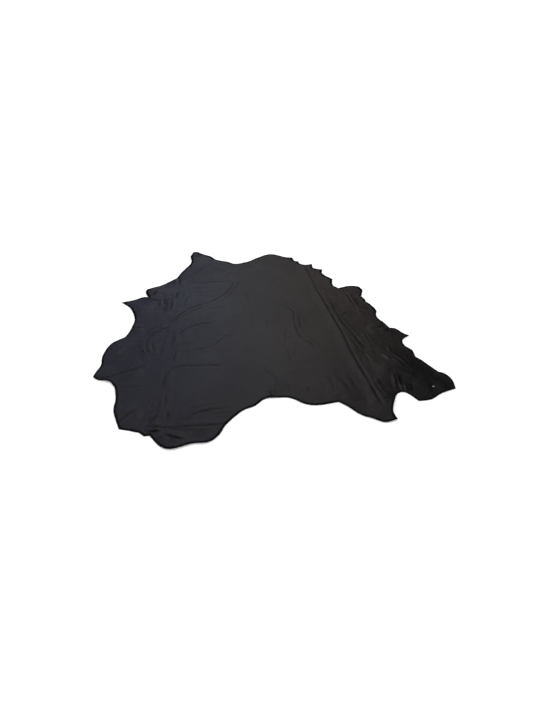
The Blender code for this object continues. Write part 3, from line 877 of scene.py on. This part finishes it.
def combined(tree, operation, first, second):
    inputs = {0: first, 1: second}
    return add_node(tree, "ShaderNodeMath", inputs, operation=operation).outputs["Value"]


def vectors(tree, operation, inputs):
    return add_node(tree, "ShaderNodeVectorMath", inputs, operation=operation).outputs["Vector"]


def stored(tree, name):
    return add_node(tree, "ShaderNodeAttribute", {}, attribute_name=name).outputs["Fac"]


def new_material(name):
    """A material with its nodes, its shader and the place that patterns are laid out in."""
    material = bpy.data.materials.new(name)
    material.use_nodes = True
    tree = material.node_tree
    place = add_node(tree, "ShaderNodeTexCoord", {}).outputs["Object"]
    return material, tree, tree.nodes["Principled BSDF"], place


print("materials so far:", len(bpy.data.materials))

# %% [markdown]
# Every pattern is laid out in Object coordinates, in metres, so its scale is a count of features
# for each metre of leather, and nothing stretches over a fold.

# %% Pattern helpers
MIX_FIRST = 6
MIX_SECOND = 7
MIX_RESULT = 2
MIDDLE_OF_NOISE = (0.5, 0.5, 0.5)


def clouds(tree, place, scale, detail=3.0, roughness=0.5):
    """Soft noise from 0 to 1."""
    inputs = {"Vector": place, "Scale": scale, "Detail": detail, "Roughness": roughness}
    return add_node(tree, "ShaderNodeTexNoise", inputs).outputs["Fac"]


def stirred(tree, place, scale, amount):
    """The place moved about by noise, so that cells lose their straight sides."""
    inputs = {"Vector": place, "Scale": scale, "Detail": 2.0}
    stir = add_node(tree, "ShaderNodeTexNoise", inputs).outputs["Color"]
    centred = vectors(tree, "SUBTRACT", {0: stir, 1: MIDDLE_OF_NOISE})
    scaled = vectors(tree, "SCALE", {0: centred, "Scale": amount})
    return vectors(tree, "ADD", {0: place, 1: scaled})


def span(tree, value, low, high, to_low, to_high):
    """The value's range from low to high, eased into another range."""
    inputs = {"Value": value, "From Min": low, "From Max": high, "To Min": to_low, "To Max": to_high}
    ease = {"interpolation_type": "SMOOTHSTEP"}
    return add_node(tree, "ShaderNodeMapRange", inputs, **ease).outputs["Result"]


def cell_edges(tree, place, scale, width):
    """0 along the borders between irregular cells and 1 inside them."""
    inputs = {"Vector": place, "Scale": scale, "Randomness": 1.0}
    edge = add_node(tree, "ShaderNodeTexVoronoi", inputs, feature="DISTANCE_TO_EDGE")
    return span(tree, edge.outputs["Distance"], 0.0, width, 0.0, 1.0)


def blend(tree, factor, first, second):
    """A colour between two colours."""
    inputs = {"Factor": factor, MIX_FIRST: first, MIX_SECOND: second}
    return add_node(tree, "ShaderNodeMix", inputs, data_type="RGBA").outputs[MIX_RESULT]


def raised(tree, height, depth, under=None):
    """A bump of the given depth in metres, on top of the bump under it."""
    inputs = {"Height": height, "Distance": depth, "Strength": 1.0}
    if under:
        inputs["Normal"] = under
    return add_node(tree, "ShaderNodeBump", inputs).outputs["Normal"]


print("patterns:", [helper.__name__ for helper in (clouds, stirred, cell_edges)])

# %% [markdown]
# ### Grain side
#
# Three scales matter: the pebble of the grain, about 2 mm; the fine breaks between groups of
# pebbles, about 1 cm; and broad patches where the finish took more or less. The pebble comes from
# the borders of Voronoi cells, stirred so that no cell has straight sides. Along the cut the finish
# is rubbed thin and dull, and in the creases it is cracked, so both are rougher there. Both are
# also darker: in the creases that is painted shade, and along the cut it is painted shade of the
# edge's contact shadow as well as rubbed finish.

# %% Grain side
DYE_DARK = (0.0016, 0.0016, 0.0019, 1.0)
DYE_LIGHT = (0.0030, 0.0029, 0.0030, 1.0)
# Darker dye for the cut's strip and the creases: painted shade, with some rubbed finish along the
# cut.
WORN_AND_SHADED_DYE = (0.0012, 0.0012, 0.0014, 1.0)
PATCH_SCALE = 1.8
SMUDGE_SCALE = 17.0
SOFT_SCALE = 26.0
SOFT_DEPTH = 0.0005
BREAK_SCALE = 85.0
BREAK_DEPTH = 0.00010
PEBBLE_SCALE = 430.0
PEBBLE_DEPTH = 0.00010
PORE_SCALE = 1400.0
PORE_DEPTH = 0.00003
THIN_FINISH = 0.38
THICK_FINISH = 0.32
SMUDGED = 0.05
CRACKED = 0.25
RUBBED = 0.60
FINISH_IOR = 1.48


def grain_bump(tree, place):
    """Soft unevenness, the breaks, the pebbles and the pores, each on top of the one before."""
    normal = raised(tree, clouds(tree, place, SOFT_SCALE), SOFT_DEPTH)
    breaks = cell_edges(tree, stirred(tree, place, 60.0, 0.010), BREAK_SCALE, 0.06)
    normal = raised(tree, breaks, BREAK_DEPTH, normal)
    pebbles = cell_edges(tree, stirred(tree, place, 300.0, 0.0016), PEBBLE_SCALE, 0.22)
    normal = raised(tree, pebbles, PEBBLE_DEPTH, normal)
    return raised(tree, clouds(tree, place, PORE_SCALE, 2.0), PORE_DEPTH, normal)


def grain_leather():
    material, tree, shader, place = new_material("black leather")
    patches = clouds(tree, place, PATCH_SCALE, 4.0, 0.55)
    smudges = clouds(tree, place, SMUDGE_SCALE, 5.0, 0.6)
    near_cut = span(tree, stored(tree, "near_cut"), 0.30, 0.65, 0.0, 1.0)
    in_crease = stored(tree, "in_crease")

    dye = blend(tree, span(tree, patches, 0.3, 0.7, 0.0, 1.0), DYE_DARK, DYE_LIGHT)
    dye = blend(tree, span(tree, smudges, 0.55, 0.8, 0.0, 0.5), dye, DYE_LIGHT)
    # Painted shade: the dye turns darker towards the cut and down in the creases.
    dye = blend(tree, combined(tree, "MAXIMUM", near_cut, in_crease), dye, WORN_AND_SHADED_DYE)
    feed(tree, shader.inputs["Base Color"], dye)

    dullness = span(tree, patches, 0.25, 0.75, THIN_FINISH, THICK_FINISH)
    dullness = combined(tree, "ADD", dullness, span(tree, smudges, 0.4, 0.8, 0.0, SMUDGED))
    for worn, amount in ((in_crease, CRACKED), (near_cut, RUBBED)):
        dullness = combined(tree, "ADD", dullness, combined(tree, "MULTIPLY", worn, amount))
    feed(tree, shader.inputs["Roughness"], dullness)
    feed(tree, shader.inputs["Normal"], grain_bump(tree, place))
    shader.inputs["IOR"].default_value = FINISH_IOR
    return material


black_leather = grain_leather()
print("grain side:", len(black_leather.node_tree.nodes), "nodes")

# %% [markdown]
# ### Dull edge
#
# The strip along the cut has lost its finish. What is left is dye on rough leather, with hardly
# any sheen. Its darker dye and low sheen are partly painted shade: they draw the dark line of the
# edge's contact shadow round the hide.

# %% Dull edge
EDGE_ROUGHNESS = 0.9
EDGE_SHEEN = 0.12
EDGE_NAP_SCALE = 400.0
EDGE_NAP = 0.0002


def edge_leather_with_painted_shade():
    material, tree, shader, place = new_material("dull edge")
    # Painted shade: the strip's darker dye draws the dark line along the edge.
    shader.inputs["Base Color"].default_value = WORN_AND_SHADED_DYE
    shader.inputs["Roughness"].default_value = EDGE_ROUGHNESS
    shader.inputs["Specular IOR Level"].default_value = EDGE_SHEEN
    nap = raised(tree, clouds(tree, place, EDGE_NAP_SCALE), EDGE_NAP)
    feed(tree, shader.inputs["Normal"], nap)
    return material


dull_shaded_edge = edge_leather_with_painted_shade()
print("dull edge:", len(dull_shaded_edge.node_tree.nodes), "nodes")

# %% [markdown]
# ### Flesh side and raw cut
#
# Under the grain, leather is a felt of fibres, dyed through to a charcoal. The flesh side has a
# short nap that lies in clouds, and the cut shows the ends of the fibres. One function makes both.

# %% Flesh side and raw cut
FLESH_DARK = (0.022, 0.021, 0.020, 1.0)
FLESH_LIGHT = (0.050, 0.047, 0.044, 1.0)
FLESH_SCALE = 12.0
FLESH_NAP = 0.0005
RAW_DARK = (0.006, 0.006, 0.006, 1.0)
RAW_LIGHT = (0.020, 0.018, 0.017, 1.0)
RAW_SCALE = 30.0
RAW_NAP = 0.0002
FIBRE_ROUGHNESS = 0.95
FIBRE_SHEEN = 0.2


def fibre_leather(name, dark, light, scale, nap):
    material, tree, shader, place = new_material(name)
    lay = clouds(tree, place, scale, 5.0, 0.6)
    fibres = clouds(tree, stirred(tree, place, scale * 3, 0.004), scale * 40, 4.0, 0.65)
    shares = (combined(tree, "MULTIPLY", lay, 0.6), combined(tree, "MULTIPLY", fibres, 0.4))
    tone = span(tree, combined(tree, "ADD", *shares), 0.3, 0.7, 0.0, 1.0)
    feed(tree, shader.inputs["Base Color"], blend(tree, tone, dark, light))
    feed(tree, shader.inputs["Normal"], raised(tree, fibres, nap))
    shader.inputs["Roughness"].default_value = FIBRE_ROUGHNESS
    shader.inputs["Specular IOR Level"].default_value = FIBRE_SHEEN
    return material


flesh_side = fibre_leather("flesh side", FLESH_DARK, FLESH_LIGHT, FLESH_SCALE, FLESH_NAP)
raw_cut = fibre_leather("raw cut", RAW_DARK, RAW_LIGHT, RAW_SCALE, RAW_NAP)
for material in (black_leather, flesh_side, raw_cut, dull_shaded_edge, flesh_side, raw_cut):
    hide.data.materials.append(material)
print("materials:", [material.name for material in hide.data.materials])

# %% [markdown]
# ## Floor
#
# The floor is plain and pale. It lies a hair lower than the hide, so that the two surfaces don't
# fight for the same pixels.

# %% Floor
FLOOR_SIZE = 60.0
FLOOR_DROP = 0.0003
FLOOR_WHITE = (0.92, 0.92, 0.92, 1.0)


def floor():
    bm = bmesh.new()
    bmesh.ops.create_grid(bm, x_segments=1, y_segments=1, size=FLOOR_SIZE / 2)
    bmesh.ops.translate(bm, verts=bm.verts, vec=(0.0, 0.0, -FLOOR_DROP))
    mesh = bpy.data.meshes.new("floor")
    bm.to_mesh(mesh)
    bm.free()
    material = bpy.data.materials.new("pale floor")
    material.use_nodes = True
    shader = material.node_tree.nodes["Principled BSDF"]
    shader.inputs["Base Color"].default_value = FLOOR_WHITE
    shader.inputs["Roughness"].default_value = 1.0
    shader.inputs["Specular IOR Level"].default_value = 0.0
    mesh.materials.append(material)
    made = bpy.data.objects.new("floor", mesh)
    bpy.context.scene.collection.objects.link(made)
    return made


floor()
print("floor, m:", FLOOR_SIZE, "square")

# %% [markdown]
# ## Light
#
# Black leather shows the light and not itself, so what it reflects has to be built. Beyond the far
# end stands a row of panels, like the window wall of a workshop: cool on the left, warm on the
# right. Their reflection is the sheen over the left and the middle. The dark curtain between two
# windows gives every small bank that faces left a bright and a dark side. The ceiling lifts the
# near lobes, and the three other walls serve someone who looks at the hide from elsewhere.

# %% Panels of light
Pane = namedtuple("Pane", "name x z width height colour")
Panel = namedtuple("Panel", "name place target size brightness colour")
WINDOW_WALL_Y = 6.0
WINDOW_WALL = (
    Pane("side window", -7.4, 3.1, 4.2, 5.8, (0.84, 0.88, 1.14)),
    Pane("curtain", -4.15, 4.7, 2.1, 8.6, (0.14, 0.12, 0.24)),
    Pane("cool window", -2.45, 4.3, 1.3, 5.0, (0.49, 0.55, 0.79)),
    Pane("cool window top", -2.7, 8.1, 1.8, 2.6, (0.66, 0.71, 0.94)),
    Pane("window", -1.15, 5.4, 1.3, 7.2, (0.71, 0.76, 0.92)),
    Pane("warm window", 0.10, 5.4, 1.2, 7.2, (0.62, 0.58, 0.56)),
    Pane("warm wall", 1.35, 3.4, 1.3, 3.2, (0.51, 0.42, 0.38)),
    Pane("warm wall top", 1.35, 7.0, 1.3, 4.0, (1.32, 1.15, 1.06)),
    Pane("low glow", 2.15, 1.0, 2.9, 1.6, (0.12, 0.09, 0.09)),
    Pane("high glow", 2.50, 7.8, 1.0, 4.4, (1.20, 1.10, 1.10)),
)
MIDDLE = (0.0, 0.0, 0.0)
REST_OF_ROOM = (
    Panel("ceiling", (-1.6, 3.0, 9.0), (-1.6, 3.0, 0.0), (5.4, 5.0), 1.0, (0.96, 0.91, 0.95)),
    Panel("near wall", (0.0, -8.0, 3.2), MIDDLE, (13.0, 6.0), 0.5, (0.92, 0.96, 1.08)),
    Panel("right wall", (8.5, -1.0, 3.2), MIDDLE, (10.0, 6.0), 0.3, (1.0, 0.97, 0.95)),
    Panel("left wall", (-9.5, -2.5, 3.2), MIDDLE, (9.0, 6.0), 0.5, (0.92, 0.96, 1.08)),
)


def wall_panel(pane):
    """A pane of the window wall, which faces straight along the floor towards the camera."""
    place = (pane.x, WINDOW_WALL_Y, pane.z)
    return Panel(pane.name, place, (pane.x, 0.0, pane.z), (pane.width, pane.height), 1.0, pane.colour)


def stand_up(panel):
    """A soft rectangular light; its brightness is what its reflection would show."""
    light = bpy.data.lights.new(panel.name, "AREA")
    light.shape = "RECTANGLE"
    light.size, light.size_y = panel.size
    light.energy = panel.brightness * math.pi * panel.size[0] * panel.size[1]
    light.color = panel.colour
    made = bpy.data.objects.new(panel.name, light)
    made.location = panel.place
    made.rotation_mode = "QUATERNION"
    made.rotation_quaternion = (Vector(panel.target) - Vector(panel.place)).to_track_quat("-Z", "Y")
    made.visible_camera = False
    bpy.context.scene.collection.objects.link(made)


panels = [wall_panel(pane) for pane in WINDOW_WALL] + list(REST_OF_ROOM)
for panel in panels:
    stand_up(panel)
print("panels:", len(panels))

# %% [markdown]
# The white surround lights the pale floor evenly and is kept out of reflections, because a white
# room mirrored in black leather would turn it grey. No film look is put on top.

# %% Surround
SURROUND = 1.10

world = bpy.data.worlds.new("white surround")
world.use_nodes = True
background = world.node_tree.nodes["Background"]
background.inputs["Color"].default_value = (1.0, 1.0, 1.0, 1.0)
background.inputs["Strength"].default_value = SURROUND
world.cycles_visibility.glossy = False
bpy.context.scene.world = world
bpy.context.scene.view_settings.view_transform = "Standard"
bpy.context.scene.view_settings.look = "None"
print("surround:", SURROUND)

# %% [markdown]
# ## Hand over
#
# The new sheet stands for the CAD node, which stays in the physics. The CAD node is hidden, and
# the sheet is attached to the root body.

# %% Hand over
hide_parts("hide")
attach(hide, "root")
